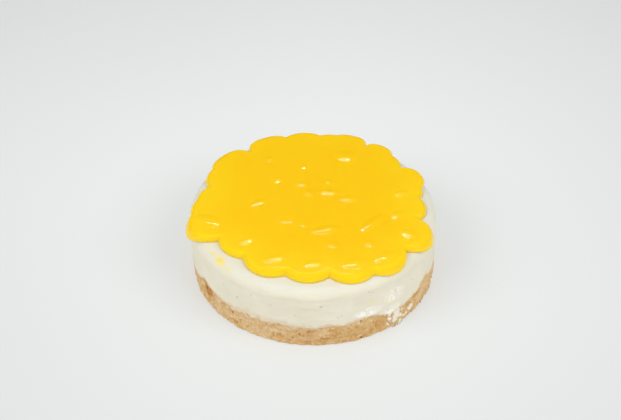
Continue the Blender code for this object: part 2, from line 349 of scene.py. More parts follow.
def rest():
    """Leave edit mode and select nothing, so that an operator touches only a new piece."""
    if bpy.context.object and bpy.context.object.mode != "OBJECT":
        bpy.ops.object.mode_set(mode="OBJECT")
    bpy.ops.object.select_all(action="DESELECT")


def thrown_piece(name, profile, steps):
    """Draw a profile of (radius, height) points by extrusion and turn it round +Z."""
    rest()
    bpy.ops.mesh.primitive_plane_add(size=MM)
    piece = bpy.context.object
    piece.name = name
    bpy.ops.object.mode_set(mode="EDIT")
    bpy.ops.mesh.merge(type="CENTER")
    bpy.ops.transform.translate(value=(profile[0][0], 0.0, profile[0][1]))
    for (r0, z0), (r1, z1) in zip(profile, profile[1:]):
        bpy.ops.mesh.extrude_vertices_move(TRANSFORM_OT_translate={"value": (r1 - r0, 0.0, z1 - z0)})
    bpy.ops.object.mode_set(mode="OBJECT")
    bpy.ops.object.transform_apply(location=True, rotation=True, scale=True)
    bpy.ops.object.modifier_add(type="SCREW")
    turning = piece.modifiers[-1]
    turning.axis = "Z"
    turning.angle = math.tau
    turning.screw_offset = 0.0
    turning.steps = steps
    turning.render_steps = steps
    turning.use_merge_vertices = True
    turning.merge_threshold = 0.005 * MM
    bpy.ops.object.modifier_apply(modifier=turning.name)
    bpy.ops.object.mode_set(mode="EDIT")
    bpy.ops.mesh.select_all(action="SELECT")
    bpy.ops.mesh.remove_doubles(threshold=0.005 * MM)
    bpy.ops.mesh.normals_make_consistent(inside=False)
    bpy.ops.object.mode_set(mode="OBJECT")
    return piece


def read_points(piece):
    points = np.empty(3 * len(piece.data.vertices))
    piece.data.vertices.foreach_get("co", points)
    points = points.reshape(-1, 3)
    radius = np.hypot(points[:, 0], points[:, 1])
    angle = np.arctan2(points[:, 1], points[:, 0]) % math.tau
    return radius, angle, points[:, 2].copy()


def as_points(radius, angle, height):
    return np.column_stack((radius * np.cos(angle), radius * np.sin(angle), height))


def write_points(piece, points):
    piece.data.vertices.foreach_set("co", points.astype(np.float32).ravel())
    piece.data.update()


def write_share(piece, name, values):
    """Keep a value between 0 and 1 on each vertex, for a material to read."""
    layer = piece.data.attributes.new(name, "FLOAT", "POINT")
    layer.data.foreach_set("value", np.clip(values, 0.0, 1.0).astype(np.float32))


def scatter(mask, values):
    """The values at the masked vertices, and 0 at all others."""
    share = np.zeros(len(mask))
    share[mask] = values
    return share


def finish_piece(piece, material, slot, *nodes):
    """Shade the piece smooth and hand it to the frame in place of its solids."""
    rest()
    piece.select_set(True)
    bpy.context.view_layer.objects.active = piece
    bpy.ops.object.transform_apply(location=True, rotation=True, scale=True)
    bpy.ops.object.shade_smooth()
    piece.data.name = piece.name
    piece.data.materials.clear()
    piece.data.materials.append(material)
    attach(piece, "root")
    if nodes:
        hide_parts(*nodes)


def new_material(name):
    """An empty material, its tree, and the Object coordinates that its patterns read."""
    material = bpy.data.materials.new(name)
    material.use_nodes = True
    tree = material.node_tree
    tree.nodes.clear()
    return material, tree, add_node(tree, "ShaderNodeTexCoord").outputs["Object"]


def add_node(tree, kind, settings=None, values=None, links=None):
    """Add a node with its settings, its unlinked values and the sockets that feed it."""
    node = tree.nodes.new(kind)
    for key, value in (settings or {}).items():
        setattr(node, key, value)
    for key, value in (values or {}).items():
        node.inputs[key].default_value = value
    for key, socket in (links or {}).items():
        tree.links.new(socket, node.inputs[key])
    return node


def set_stops(node, stops):
    """Give a colour ramp its stops, as (place, colour) pairs."""
    ramp = node.color_ramp
    while len(ramp.elements) > len(stops):
        ramp.elements.remove(ramp.elements[-1])
    while len(ramp.elements) < len(stops):
        ramp.elements.new(1.0)
    for element, (place, colour) in zip(ramp.elements, stops):
        element.position = place
        element.color = colour


def per_metre(millimetres):
    """Texture scale whose features are about this many millimetres wide."""
    return 1000.0 / millimetres


# Mix node sockets for colours: factor, first colour, second colour, and the result
FACTOR, FIRST, SECOND, RESULT = 0, 6, 7, 2


def mix_shares(tree, colour, tints):
    """Lay tints over a colour, each by its share on the vertices and a most it may reach."""
    for name, tint, most in tints:
        share = add_node(tree, "ShaderNodeAttribute", {"attribute_name": name})
        limited = add_node(
            tree, "ShaderNodeMath", {"operation": "MULTIPLY"}, {1: most}, {0: share.outputs["Fac"]}
        )
        mixed = add_node(
            tree,
            "ShaderNodeMix",
            {"data_type": "RGBA"},
            {SECOND: tint},
            {FACTOR: limited.outputs[0], FIRST: colour},
        )
        colour = mixed.outputs[RESULT]
    return colour


def pressed_biscuit_crumb(settings):
    """Wholemeal biscuit crumb, buttered and pressed: dry, dull and mottled grain by grain."""
    material, tree, place = new_material("Biscuit crumb, pressed")
    warp = add_node(
        tree,
        "ShaderNodeTexNoise",
        values={"Scale": per_metre(3.0), "Detail": 3.0, "Roughness": 0.6},
        links={"Vector": place},
    )
    grains = add_node(
        tree,
        "ShaderNodeTexVoronoi",
        values={"Scale": per_metre(1.3), "Randomness": 1.0},
        links={"Vector": place},
    )
    fine = add_node(
        tree,
        "ShaderNodeTexNoise",
        values={"Scale": per_metre(0.55), "Detail": 4.0, "Roughness": 0.7},
        links={"Vector": place},
    )
    shade = add_node(
        tree, "ShaderNodeSeparateColor", links={"Color": grains.outputs["Color"]}
    ).outputs["Red"]
    specks = add_node(
        tree, "ShaderNodeMath", {"operation": "MULTIPLY"}, {1: 0.55}, {0: fine.outputs["Fac"]}
    )
    tone = add_node(
        tree,
        "ShaderNodeMath",
        {"operation": "MULTIPLY_ADD"},
        {1: 0.45},
        {0: shade, 2: specks.outputs[0]},
    )
    colour = add_node(tree, "ShaderNodeValToRGB", links={"Fac": tone.outputs[0]})
    dark, middle, pale = settings.dark_colour, settings.crumb_colour, settings.pale_colour
    set_stops(colour, ((0.12, dark), (0.42, middle), (0.75, pale)))
    # Toasted patches a few grains wide
    patch = add_node(
        tree,
        "ShaderNodeMapRange",
        values={"From Min": 0.56, "From Max": 0.72, "To Min": 0.0, "To Max": 0.45},
        links={"Value": warp.outputs["Fac"]},
    )
    toasted = add_node(
        tree,
        "ShaderNodeMix",
        {"data_type": "RGBA"},
        {SECOND: dark},
        {FACTOR: patch.outputs["Result"], FIRST: colour.outputs["Color"]},
    )
    # Patches, the painted shade in the gaps between crumbs, and the cream come with the shape
    shades = (
        ("toasted", linear("B97B3A"), 0.85),
        ("floury", linear("E6CBA6"), 0.7),
        ("gap_shade", linear("9C6B38"), 1.0),
        ("cream", linear("EDE6D6"), 1.0),
    )
    colour = mix_shares(tree, toasted.outputs[RESULT], shades)
    relief = add_node(
        tree,
        "ShaderNodeBump",
        values={"Strength": 0.42, "Distance": 0.25 * MM},
        links={"Height": tone.outputs[0]},
    )
    shader = add_node(
        tree,
        "ShaderNodeBsdfPrincipled",
        values={"Roughness": 0.88, "IOR": 1.45, "Specular IOR Level": 0.3},
        links={"Base Color": colour, "Normal": relief.outputs["Normal"]},
    )
    add_node(tree, "ShaderNodeOutputMaterial", links={"Surface": shader.outputs["BSDF"]})
    return material


def set_cream_cheese(settings):
    """Cream cheese, set and smoothed by a ring: ivory, satin, and lit a little from inside."""
    material, tree, place = new_material("Cream cheese, smoothed")
    cloud = add_node(
        tree,
        "ShaderNodeTexNoise",
        values={"Scale": per_metre(9.0), "Detail": 3.0, "Roughness": 0.55},
        links={"Vector": place},
    )
    grain = add_node(
        tree,
        "ShaderNodeTexNoise",
        values={"Scale": per_metre(0.9), "Detail": 3.0, "Roughness": 0.6},
        links={"Vector": place},
    )
    base = add_node(tree, "ShaderNodeValToRGB", links={"Fac": cloud.outputs["Fac"]})
    set_stops(
        base,
        ((0.3, linear("E2DCC6")), (0.55, settings.cream_colour), (0.8, linear("EAE5D4"))),
    )
    tints = (
        # Painted shade on the top, darker than the cream, with a cooler tone
        ("top_shade_and_cool_tone", linear("DEDDD0"), 0.8),
        ("crumb_tint", linear("D9B78E"), 1.0),
        ("gel_trace", settings.trace_colour, 1.0),
        # Torn cream is paler, and the raised flakes carry painted highlight
        ("torn", settings.torn_colour, 1.0),
        # Pores and the pits of the torn patch are painted darker: painted shade in hollows
        ("pore_shade", linear("B9A98A"), 0.8),
    )
    colour = mix_shares(tree, base.outputs["Color"], tints)
    relief = add_node(
        tree,
        "ShaderNodeBump",
        values={"Strength": 0.25, "Distance": 0.12 * MM},
        links={"Height": grain.outputs["Fac"]},
    )
    shader = add_node(
        tree,
        "ShaderNodeBsdfPrincipled",
        values={
            "Roughness": 0.55,
            "IOR": 1.40,
            "Specular IOR Level": 0.35,
            "Subsurface Weight": 0.3,
            "Subsurface Radius": (1.0, 0.85, 0.55),
            "Subsurface Scale": 2.0 * MM,
        },
        links={"Base Color": colour, "Normal": relief.outputs["Normal"]},
    )
    add_node(tree, "ShaderNodeOutputMaterial", links={"Surface": shader.outputs["BSDF"]})
    return material


def set_fruit_gel(settings):
    """Fruit gel, spooned on warm and set: wet-looking, and a deeper yellow where deep."""
    material, tree, place = new_material("Fruit gel, set")
    depth = add_node(tree, "ShaderNodeAttribute", {"attribute_name": "gel_depth"})
    pulp = add_node(
        tree,
        "ShaderNodeTexNoise",
        values={"Scale": per_metre(14.0), "Detail": 2.0, "Roughness": 0.5},
        links={"Vector": place},
    )
    tone = add_node(
        tree,
        "ShaderNodeMath",
        {"operation": "MULTIPLY_ADD"},
        {1: 0.3},
        {0: pulp.outputs["Fac"], 2: depth.outputs["Fac"]},
    )
    colour = add_node(tree, "ShaderNodeValToRGB", links={"Fac": tone.outputs[0]})
    set_stops(colour, ((0.12, settings.thin_colour), (1.0, settings.deep_colour)))
    shader = add_node(
        tree,
        "ShaderNodeBsdfPrincipled",
        values={
            "Roughness": 0.07,
            "IOR": 1.38,
            "Subsurface Weight": 0.6,
            "Subsurface Radius": (1.0, 0.7, 0.1),
            "Subsurface Scale": 3.0 * MM,
        },
        links={"Base Color": colour.outputs["Color"]},
    )
    add_node(tree, "ShaderNodeOutputMaterial", links={"Surface": shader.outputs["BSDF"]})
    return material


# The floor's painted glow, which lifts the cake's shadow and leaves painted shade towards
# the corners: its centre, a little behind the cake, the distances from there between which
# it falls off, and how far it is over its setting at first and under it at last
PAINTED_GLOW_CENTRE = (0.0, 0.035, 0.0)
GLOW_NEAR, GLOW_FAR = 0.05, 0.22
GLOW_RISE, GLOW_DROP = 0.055, 0.085


def studio_floor(settings):
    """Pale opal acrylic with a painted glow, strongest round the cake so that its shadow shows only
    faintly.
    """
    material, tree, place = new_material("Opal acrylic, painted glow")
    haze = add_node(
        tree,
        "ShaderNodeTexNoise",
        values={"Scale": per_metre(180.0), "Detail": 1.0},
        links={"Vector": place},
    )
    colour = add_node(tree, "ShaderNodeValToRGB", links={"Fac": haze.outputs["Fac"]})
    set_stops(colour, ((0.35, linear("AEB0AF")), (0.65, settings.floor_colour)))
    away = add_node(
        tree, "ShaderNodeVectorMath", {"operation": "DISTANCE"}, {1: PAINTED_GLOW_CENTRE}, {0: place}
    )
    # Painted light: the glow is brightest near the cake and fades to painted shade at the corners
    glow = add_node(
        tree,
        "ShaderNodeMapRange",
        values={
            "From Min": GLOW_NEAR,
            "From Max": GLOW_FAR,
            "To Min": settings.floor_glow + GLOW_RISE,
            "To Max": settings.floor_glow - GLOW_DROP,
        },
        links={"Value": away.outputs["Value"]},
    )
    shader = add_node(
        tree,
        "ShaderNodeBsdfPrincipled",
        values={"Roughness": 0.8, "Specular IOR Level": 0.1, "Emission Color": linear("FCFFFE")},
        links={"Base Color": colour.outputs["Color"], "Emission Strength": glow.outputs["Result"]},
    )
    add_node(tree, "ShaderNodeOutputMaterial", links={"Surface": shader.outputs["BSDF"]})
    return material


def spread(low, high, count):
    """Evenly spaced numbers from low to high, both included."""
    return [low + (high - low) * step / count for step in range(count + 1)]


class CHEESECAKE_OT_biscuit_base(bpy.types.Operator):
    """Press the biscuit base: a disc with a crumbly side and an uneven upper edge"""

    bl_idname = "cheesecake.biscuit_base"
    bl_label = "Biscuit base"

    SIDE_ROWS = 28
    FOOT_ROUNDING = 0.7 * MM

    # How far down from its upper edge the crumb is veiled by cream
    BLEND_HEIGHT = 2.4 * MM

    # Waves in the upper edge: their width and height
    EDGE_WAVE, EDGE_RISE = 2.2 * MM, 0.4 * MM

    # Single grains, the seams between them and the holes where one fell out
    GRAIN_SIZE, GRAIN_RISE = 1.5 * MM, 0.22 * MM
    SEAM_SHARE, SEAM_DEPTH = 0.16, 0.1 * MM
    HOLE_SIZE, HOLE_DEPTH = 1.8 * MM, 0.4 * MM

    # The smear of cream, front right, and the flake beside it: bearing in degrees, height in
    # mm, half width in degrees, half height in mm
    SMEAR, FLAKE = (311.5, 6.0, 4.4, 6.5), (321.0, 4.6, 2.2, 1.9)

    # How far the smear stands out and how unevenly, and its slant in degrees for each mm up,
    # with the height in mm where it has its stated bearing
    SMEAR_RISE, SMEAR_ROUGHNESS = 0.45 * MM, 0.5 * MM
    SMEAR_SLANT, SLANT_FROM = 0.45, 5.0

    def execute(self, context):
        settings = context.scene.cheesecake_base
        steps = context.scene.cheesecake_studio.steps * 6 // 5
        radius = settings.radius
        profile = [(share * radius, 1.0) for share in (0.0, 0.5, 0.8, 0.93, 0.97, 0.985)]
        profile += [(radius, share) for share in spread(1.0, 0.0, self.SIDE_ROWS)[:-1]]
        profile += [(share * radius, 0.0) for share in (0.985, 0.96, 0.9, 0.6, 0.0)]
        piece = thrown_piece("pressed_biscuit_base", [(r, z * MM) for r, z in profile], steps)

        radius_now, angle, level = read_points(piece)
        level = level / MM
        bearing = np.degrees(angle)
        top = crumb_line(bearing)
        height = level * top
        side = radius_now > 0.99 * radius
        around = as_points(radius_now, angle, height)
        ragged = scatter(side, field(around[side], self.EDGE_WAVE, 4, 2))
        height = height + self.EDGE_RISE * ragged * smooth_step((level - 0.55) / 0.4)

        outer = radius_now - side_lean(angle, height) * radius_now / radius
        points = as_points(radius_now, angle, height)[side]
        lumps = settings.crumb_depth * np.minimum(field(points, settings.crumb_size, 0, 2), 0.6)
        near, following = cells(points, self.GRAIN_SIZE, 2)
        grains = self.GRAIN_RISE * (0.5 - near)
        seams = smooth_step(1.0 - (following - near) / self.SEAM_SHARE)
        holes = smooth_step((field(points, self.HOLE_SIZE, 9) - 0.6) / 0.14)
        foot = smooth_step(1.0 - height[side] / self.FOOT_ROUNDING)
        cream = self.cream_smear(bearing[side], height[side], points)
        blend = blending(bearing[side])
        fade = 1.0 - (top[side] - height[side]) / (self.BLEND_HEIGHT * blend)
        fade = 0.75 * blend * smooth_step(fade + 0.5 * field(points, 2.4 * MM, 18, 2))
        push = lumps + grains - self.SEAM_DEPTH * seams - self.HOLE_DEPTH * holes * (1.0 - cream)
        push *= 1.0 - 0.8 * fade
        push += cream * (self.SMEAR_RISE + self.SMEAR_ROUGHNESS * field(points, 1.5 * MM, 6))
        outer[side] += push - foot * 0.5 * self.FOOT_ROUNDING
        write_points(piece, as_points(outer, angle, np.maximum(height, 0.0)))

        # Seams between grains and holes are painted darker: painted shade in the recesses
        shaded_gaps = np.maximum(0.25 * seams, 0.6 * holes) * (1.0 - cream)
        write_share(piece, "gap_shade", scatter(side, shaded_gaps))
        write_share(piece, "cream", scatter(side, np.maximum(cream, fade)))
        for name, patches in (("toasted", TOASTED_PATCHES_AND_CRACK_SHADE), ("floury", FLOURY_PATCHES)):
            shown = self.patches(patches, bearing[side], height[side], points)
            write_share(piece, name, scatter(side, shown))
        finish_piece(piece, pressed_biscuit_crumb(settings), "biscuit_crumb", "biscuit_base")
        return {"FINISHED"}

    @staticmethod
    def patches(table, bearing, height, points):
        """How strongly the patches of a table show at each point, with ragged edges."""
        ragged = 0.7 * field(points, 2.2 * MM, 16, 3)
        shown = np.zeros(len(points))
        for *spot, strength in table:
            near = 1.3 - off_spot(bearing, height, spot)
            shown = np.maximum(shown, strength * smooth_step(near + ragged))
        return shown

    def cream_smear(self, bearing, height, points):
        """Cream pulled down over the crumb, front right, ragged and with a flake beside it."""
        slant = self.SMEAR_SLANT * (height / MM - self.SLANT_FROM)
        body = 0.85 - off_spot(bearing + slant, height, self.SMEAR)
        body += 1.5 * field(points, 1.8 * MM, 3, 2)
        flake = 0.8 - off_spot(bearing, height, self.FLAKE) + 0.9 * field(points, 1.6 * MM, 5)
        return smooth_step(np.maximum(body, flake) / 0.25)


class CHEESECAKE_OT_cream_cheese(bpy.types.Operator):
    """Smooth the cream cheese layer, with its ridge, pores, torn patch and stains"""

    bl_idname = "cheesecake.cream_cheese"
    bl_label = "Cream cheese"

    SIDE_ROWS = 46
    RIM_ROWS = 16

    # How far the filling reaches down past the crumb line, and the waves in its lower edge:
    # their width and height, and how far up they fade out
    EDGE_OVERLAP = 0.15 * MM
    EDGE_WAVE, EDGE_RISE, EDGE_FADE = 2.4 * MM, 0.45 * MM, 2.0 * MM

    # Swells, dents and level streaks in the side: their width and height
    SWELL_SIZE, SWELL_RISE = 17.0 * MM, 0.3 * MM
    DENT_SIZE, DENT_RISE = 5.0 * MM, 0.12 * MM
    STREAK_SIZE, STREAK_RISE = 9.0 * MM, 0.1 * MM

    # The mark of smoothing: its height, how far it wanders and over what length, its half
    # width, and the bearing where it shows most
    RIDGE_HEIGHT, RIDGE_SWING, RIDGE_WAVE = 23.0 * MM, 2.4 * MM, 19.0 * MM
    RIDGE_HALF_WIDTH = 0.7 * MM
    RIDGE_ANGLE = math.radians(272.0)

    # How deep the filling tore, and the width and height of the flakes there
    TEAR_DEPTH, FLAKE_SIZE, FLAKE_RISE = 0.16 * MM, 1.9 * MM, 0.36 * MM
    PORE_DEPTH = 0.35 * MM

    # Ripples in the top: their width and height
    RIPPLE_SIZE, RIPPLE_RISE = 8.0 * MM, 0.12 * MM

    def execute(self, context):
        settings = context.scene.cheesecake_cream
        steps = context.scene.cheesecake_studio.steps
        rounding = settings.rim_rounding
        shoulder = RIM_HEIGHT - rounding
        profile = [(r * MM, RIM_HEIGHT) for r in (0.0, 15.0, 28.0, 34.0, 37.0)]
        profile += [(r, RIM_HEIGHT) for r in spread(38.0 * MM, CAKE_RADIUS - rounding, 20)[:-1]]
        for row in range(self.RIM_ROWS + 1):
            turn = 0.5 * math.pi * row / self.RIM_ROWS
            inset = CAKE_RADIUS - rounding * (1.0 - math.sin(turn))
            profile.append((inset, RIM_HEIGHT - rounding * (1.0 - math.cos(turn))))
        profile += [(CAKE_RADIUS, z) for z in spread(shoulder, 0.0, self.SIDE_ROWS)[1:-1]]
        profile += [(CAKE_RADIUS, z * MM) for z in (0.08, 0.0)]
        profile += [(r * MM, 0.0) for r in (49.92, 49.0, 48.0, 40.0, 20.0, 0.0)]
        piece = thrown_piece("cream_cheese_layer", profile, steps)

        radius, angle, level = read_points(piece)
        bearing = np.degrees(angle)
        floor = crumb_line(bearing) - self.EDGE_OVERLAP
        height = np.where(level < shoulder, floor + (shoulder - floor) * level / shoulder, level)
        wall = radius > CAKE_RADIUS - 0.99 * rounding
        around = as_points(radius, angle, height)

        # The lower edge wanders with the crumbs it was spread over
        wander = scatter(wall, field(around[wall], self.EDGE_WAVE, 12, 2))
        low = smooth_step(1.0 - (height - floor) / self.EDGE_FADE)
        height = height + self.EDGE_RISE * wander * low

        points = as_points(radius, angle, height)[wall]
        angle_w, height_w, bearing_w = angle[wall], height[wall], bearing[wall]
        swell = self.SWELL_RISE * field(points, self.SWELL_SIZE, 1)
        swell += self.DENT_RISE * field(points, self.DENT_SIZE, 7)
        squashed = points * np.array((1.0, 1.0, 5.0))
        streaks = self.STREAK_RISE * field(squashed, self.STREAK_SIZE, 5, 2)
        level_ring = points * np.array((1.0, 1.0, 0.0))
        ridge_height = self.RIDGE_HEIGHT + self.RIDGE_SWING * field(level_ring, self.RIDGE_WAVE, 21)
        ridge_share = 0.1 + 0.9 * smooth_step(2.2 * np.cos(angle_w - self.RIDGE_ANGLE) - 1.0)
        off_ridge = (height_w - ridge_height) / self.RIDGE_HALF_WIDTH
        ridge = -settings.ridge_depth * ridge_share * np.exp(-(off_ridge**2))
        torn = self.torn_patch(bearing_w, height_w)
        flakes = smooth_step((field(points, self.FLAKE_SIZE, 8, 3) + 0.05) / 0.2)
        tear = torn * (-self.TEAR_DEPTH + self.FLAKE_RISE * flakes)
        pores, specks = self.pores(points, bearing_w, height_w)
        radius_new = radius - side_lean(angle, height) * radius / CAKE_RADIUS
        below_rim = smooth_step((RIM_HEIGHT - height_w) / rounding)
        push = swell + streaks + ridge + tear - self.PORE_DEPTH * pores
        radius_new[wall] += below_rim * push
        upper = (radius < CAKE_RADIUS - rounding + 0.01 * MM) & (level > shoulder)
        height = height + self.RIPPLE_RISE * scatter(upper, field(around[upper], self.RIPPLE_SIZE, 2))
        write_points(piece, as_points(radius_new, angle, height))

        # The top is painted a little darker and cooler than the side: painted shade against the brighter
        # light on top, with a cooler tone
        write_share(piece, "top_shade_and_cool_tone", 1.0 - smooth_step((RIM_HEIGHT - height) / (0.8 * rounding)))
        # The torn patch is painted whiter, and whiter still on the raised flakes: partly the torn cream's
        # own colour, partly painted highlight on the flakes
        write_share(piece, "torn", scatter(wall, torn * (0.4 + 0.6 * flakes)))
        # The pits between the torn flakes are painted darker as well: painted shade
        shaded_pits = smooth_step((field(points, 1.4 * MM, 23) - 0.3) / 0.2) * (1.0 - flakes)
        write_share(piece, "pore_shade", scatter(wall, np.maximum(pores * specks, 0.55 * torn * shaded_pits)))
        self.write_stains(piece, as_points(radius, angle, height), bearing, height, floor)
        finish_piece(piece, set_cream_cheese(settings), "cream_cheese", "cheese_filling")
        return {"FINISHED"}

    @staticmethod
    def torn_patch(bearing, height):
        """1 where the filling tore as the ring came off, front right, falling to 0."""
        distances = [off_spot(bearing, height, spot) for spot in TORN_SPOTS]
        return smooth_step(1.5 - 1.2 * np.min(distances, axis=0))

    @staticmethod
    def pores(points, bearing, height):
        """Small open bubbles in the side, and how strongly each one is painted dark: painted shade in the
        hollow.
        """
        depth = np.zeros(len(points))
        for pore_bearing, pore_height, pore_radius in SIDE_PORES:
            across = np.radians(turn_between(bearing, pore_bearing)) * CAKE_RADIUS
            distance = np.hypot(across, height - pore_height * MM) / (pore_radius * MM)
            depth = np.maximum(depth, smooth_step(1.4 - distance))
        near, _ = cells(points, 6.5 * MM, 11)
        small = smooth_step((0.07 - near) / 0.035)
        return np.maximum(depth, small), 0.45 + 0.4 * depth

    @staticmethod
    def write_stains(piece, points, bearing, height, floor):
        """Tan crumb dust along the lower edge and traces of gel below the rim."""
        edge = points[:, 2] < RIM_HEIGHT - 0.2 * MM
        blend = blending(bearing)
        dust_height = (1.1 + 1.9 * blend) * MM
        mottle = scatter(edge, field(points[edge], 2.6 * MM, 14, 2))
        dust = smooth_step(1.0 - (height - floor) / dust_height + 0.6 * mottle) * edge
        write_share(piece, "crumb_tint", (1.0 - 0.6 * blend) * dust)
        trace = np.zeros(len(height))
        up_the_side = height + CAKE_RADIUS - np.hypot(points[:, 0], points[:, 1])
        for *spot, strength in GEL_TRACES:
            film = strength * np.exp(-(off_spot(bearing, up_the_side, spot) ** 2))
            trace = np.maximum(trace, film * (1.0 + 0.6 * mottle))
        write_share(piece, "gel_trace", trace)


class CHEESECAKE_OT_fruit_gel(bpy.types.Operator):
    """Spoon on the fruit gel: drops that have run together, with a scalloped edge"""

    bl_idname = "cheesecake.fruit_gel"
    bl_label = "Fruit gel"

    TOP_RINGS = 184
    EDGE_RINGS = 12
    UNDER_RINGS = (1.9, 1.6, 1.0, 0.9, 0.6, 0.0)

    # Before the drops shape it, the gel is a disc whose level top has this radius in mm
    DISC_RADIUS_MM = 25.0

    # How softly the reach of one drop runs into the next along the edge
    OUTLINE_SOFTNESS = 0.5 * MM

    # Thickness at the very edge, as a share of the depth there, and the least depth in mm
    EDGE_SHARE = 0.06
    LEAST_DEPTH_MM = 1.2

    # How far the edge stands over the filling and how far the underside lies below that,
    # and from what radius and how fast the gel droops over the rim
    EDGE_GAP, UNDER_DROP = 0.02 * MM, 0.05 * MM
    DROOP_START, DROOP = 47.2 * MM, 0.1

    # How far inside the edge the colour reaches its full depth
    DEEP_AFTER = 26.0 * MM

    # How far back from the middle the gel is at its most golden
    DEEP_BACK = 42.0 * MM

    # How much shallower the gel gets towards the back, for each mm of the way
    BACK_FALL = 0.012

    def execute(self, context):
        settings = context.scene.cheesecake_gel
        steps = context.scene.cheesecake_studio.steps * 2 // 3
        rings = [(share, 1.0) for share in spread(0.0, 1.0, self.TOP_RINGS)]
        rings += [(1.0 + share, 1.0) for share in spread(0.0, 1.0, self.EDGE_RINGS)[1:]]
        rings += [(share, 0.0) for share in self.UNDER_RINGS]
        profile = [(share * self.DISC_RADIUS_MM * MM, level * MM) for share, level in rings]
        piece = thrown_piece("fruit_gel_drops", profile, steps)

        ring, angle, level = read_points(piece)
        ring = ring / (self.DISC_RADIUS_MM * MM)
        top = level > 0.5 * MM
        rounding = settings.edge_rounding
        edge = self.outline(angle)
        turn = 0.5 * math.pi * np.clip(ring - 1.0, 0.0, 1.0)
        radius = np.minimum(ring, 1.0) * (edge - rounding) + rounding * np.sin(turn)
        x, y = radius * np.cos(angle), radius * np.sin(angle)
        depth = self.depth(x, y, settings)
        fullness = self.EDGE_SHARE + (1.0 - self.EDGE_SHARE) * np.cos(turn)
        under = self.underside(radius)
        height = np.where(top, under + fullness * depth, under - self.UNDER_DROP)
        write_points(piece, np.column_stack((x, y, height)))
        deep = smooth_step((edge - radius) / self.DEEP_AFTER) + 0.5 * smooth_step(y / self.DEEP_BACK)
        write_share(piece, "gel_depth", deep)
        finish_piece(piece, set_fruit_gel(settings), "fruit_gel", "fruit_gel")
        return {"FINISHED"}

    def outline(self, angle):
        """Distance from the middle to the scalloped edge at each angle."""
        reaches = []
        for bearing, reach, radius in EDGE_DROPS:
            away = angle - math.radians(bearing)
            along = (reach - radius) * MM * np.cos(away)
            aside = (reach - radius) * MM * np.sin(away)
            inside = np.maximum((radius * MM) ** 2 - aside**2, 0.0)
            reaches.append(np.where(inside > 0.0, along + np.sqrt(inside), 0.0))
        return soft_maximum(np.array(reaches), self.OUTLINE_SOFTNESS)

    def depth(self, x, y, settings):
        """Depth of the gel over the filling: run almost level, with low crowns and beads."""
        x, y = x / MM, y / MM
        middle = settings.middle_depth / MM
        heights = [middle - self.BACK_FALL * y]
        for right, back, along_radius, across_radius, turn, rise in DROP_CROWNS:
            dx, dy = x - right, y - back
            c, s = math.cos(math.radians(turn)), math.sin(math.radians(turn))
            along, across = c * dx + s * dy, c * dy - s * dx
            fall = 0.5 * (along**2 / along_radius + across**2 / across_radius)
            heights.append(middle - self.BACK_FALL * back + rise - fall)
        total = soft_maximum(np.array(heights), settings.seam_softness / MM)
        for right, back, width, length, height in GEL_BEADS:
            total += height * np.exp(-(((x - right) / width) ** 2) - ((y - back) / length) ** 2)
        return np.maximum(total, self.LEAST_DEPTH_MM) * MM

    def underside(self, radius):
        """The gel lies on the filling and hangs over its rim where a drop reaches past it."""
        past = np.maximum(radius - self.DROOP_START, 0.0)
        return RIM_HEIGHT + self.EDGE_GAP - self.DROOP * past**2 / MM


